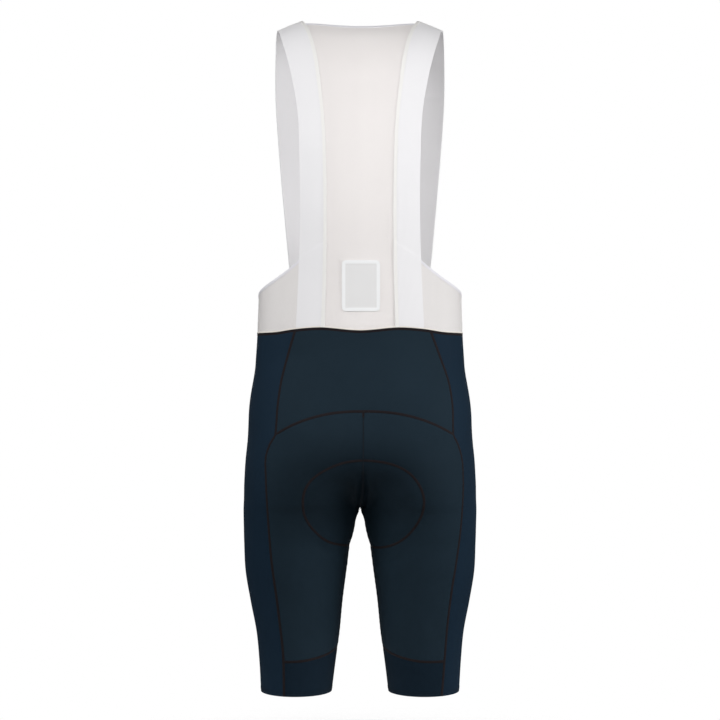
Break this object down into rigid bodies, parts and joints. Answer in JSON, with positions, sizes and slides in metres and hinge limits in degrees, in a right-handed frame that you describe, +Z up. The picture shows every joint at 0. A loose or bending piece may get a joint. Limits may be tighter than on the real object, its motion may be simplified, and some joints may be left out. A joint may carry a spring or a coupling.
{
  "type": "cycling bib shorts",
  "caption": "Close-fitting cycling bib shorts filled out as worn, with elastic shoulder straps, sheer mesh back, seat pad and gripper cuffs.",
  "frame": {"origin": "under the tops of the two shoulder straps, midway between them, where the wearer's shoulders hold the garment", "axes": "+Z up, +Y towards the garment's front, +X towards the wearer's right"},
  "size_m": [0.3253, 0.2084, 0.9345],
  "materials": {
    "navy_knit": "dense matt stretch knit",
    "navy_side_knit": "smooth stretch knit with a slight sheen",
    "navy_gripper": "matt gripper elastic",
    "pad_knit": "brushed padded knit",
    "white_mesh": "sheer fine mesh",
    "white_side_mesh": "fine mesh",
    "white_elastic": "smooth wide elastic",
    "white_tape": "narrow elastic tape",
    "white_film": "smooth film patch"
  },
  "bodies": {
    "root": {"back_yoke": "navy_knit", "seat_left": "navy_knit", "seat_right": "navy_knit", "front_left": "navy_knit", "front_right": "navy_knit", "side_panel_left": "navy_side_knit", "side_panel_right": "navy_side_knit", "cuff_left": "navy_gripper", "cuff_right": "navy_gripper", "pad": "pad_knit", "back_mesh": "white_mesh", "strap_left": "white_elastic", "strap_right": "white_elastic", "wing_left": "white_side_mesh", "wing_right": "white_side_mesh", "wing_binding_left": "white_tape", "wing_binding_right": "white_tape", "neck_binding": "white_tape", "back_label": "white_film"}
  },
  "joints": []
}
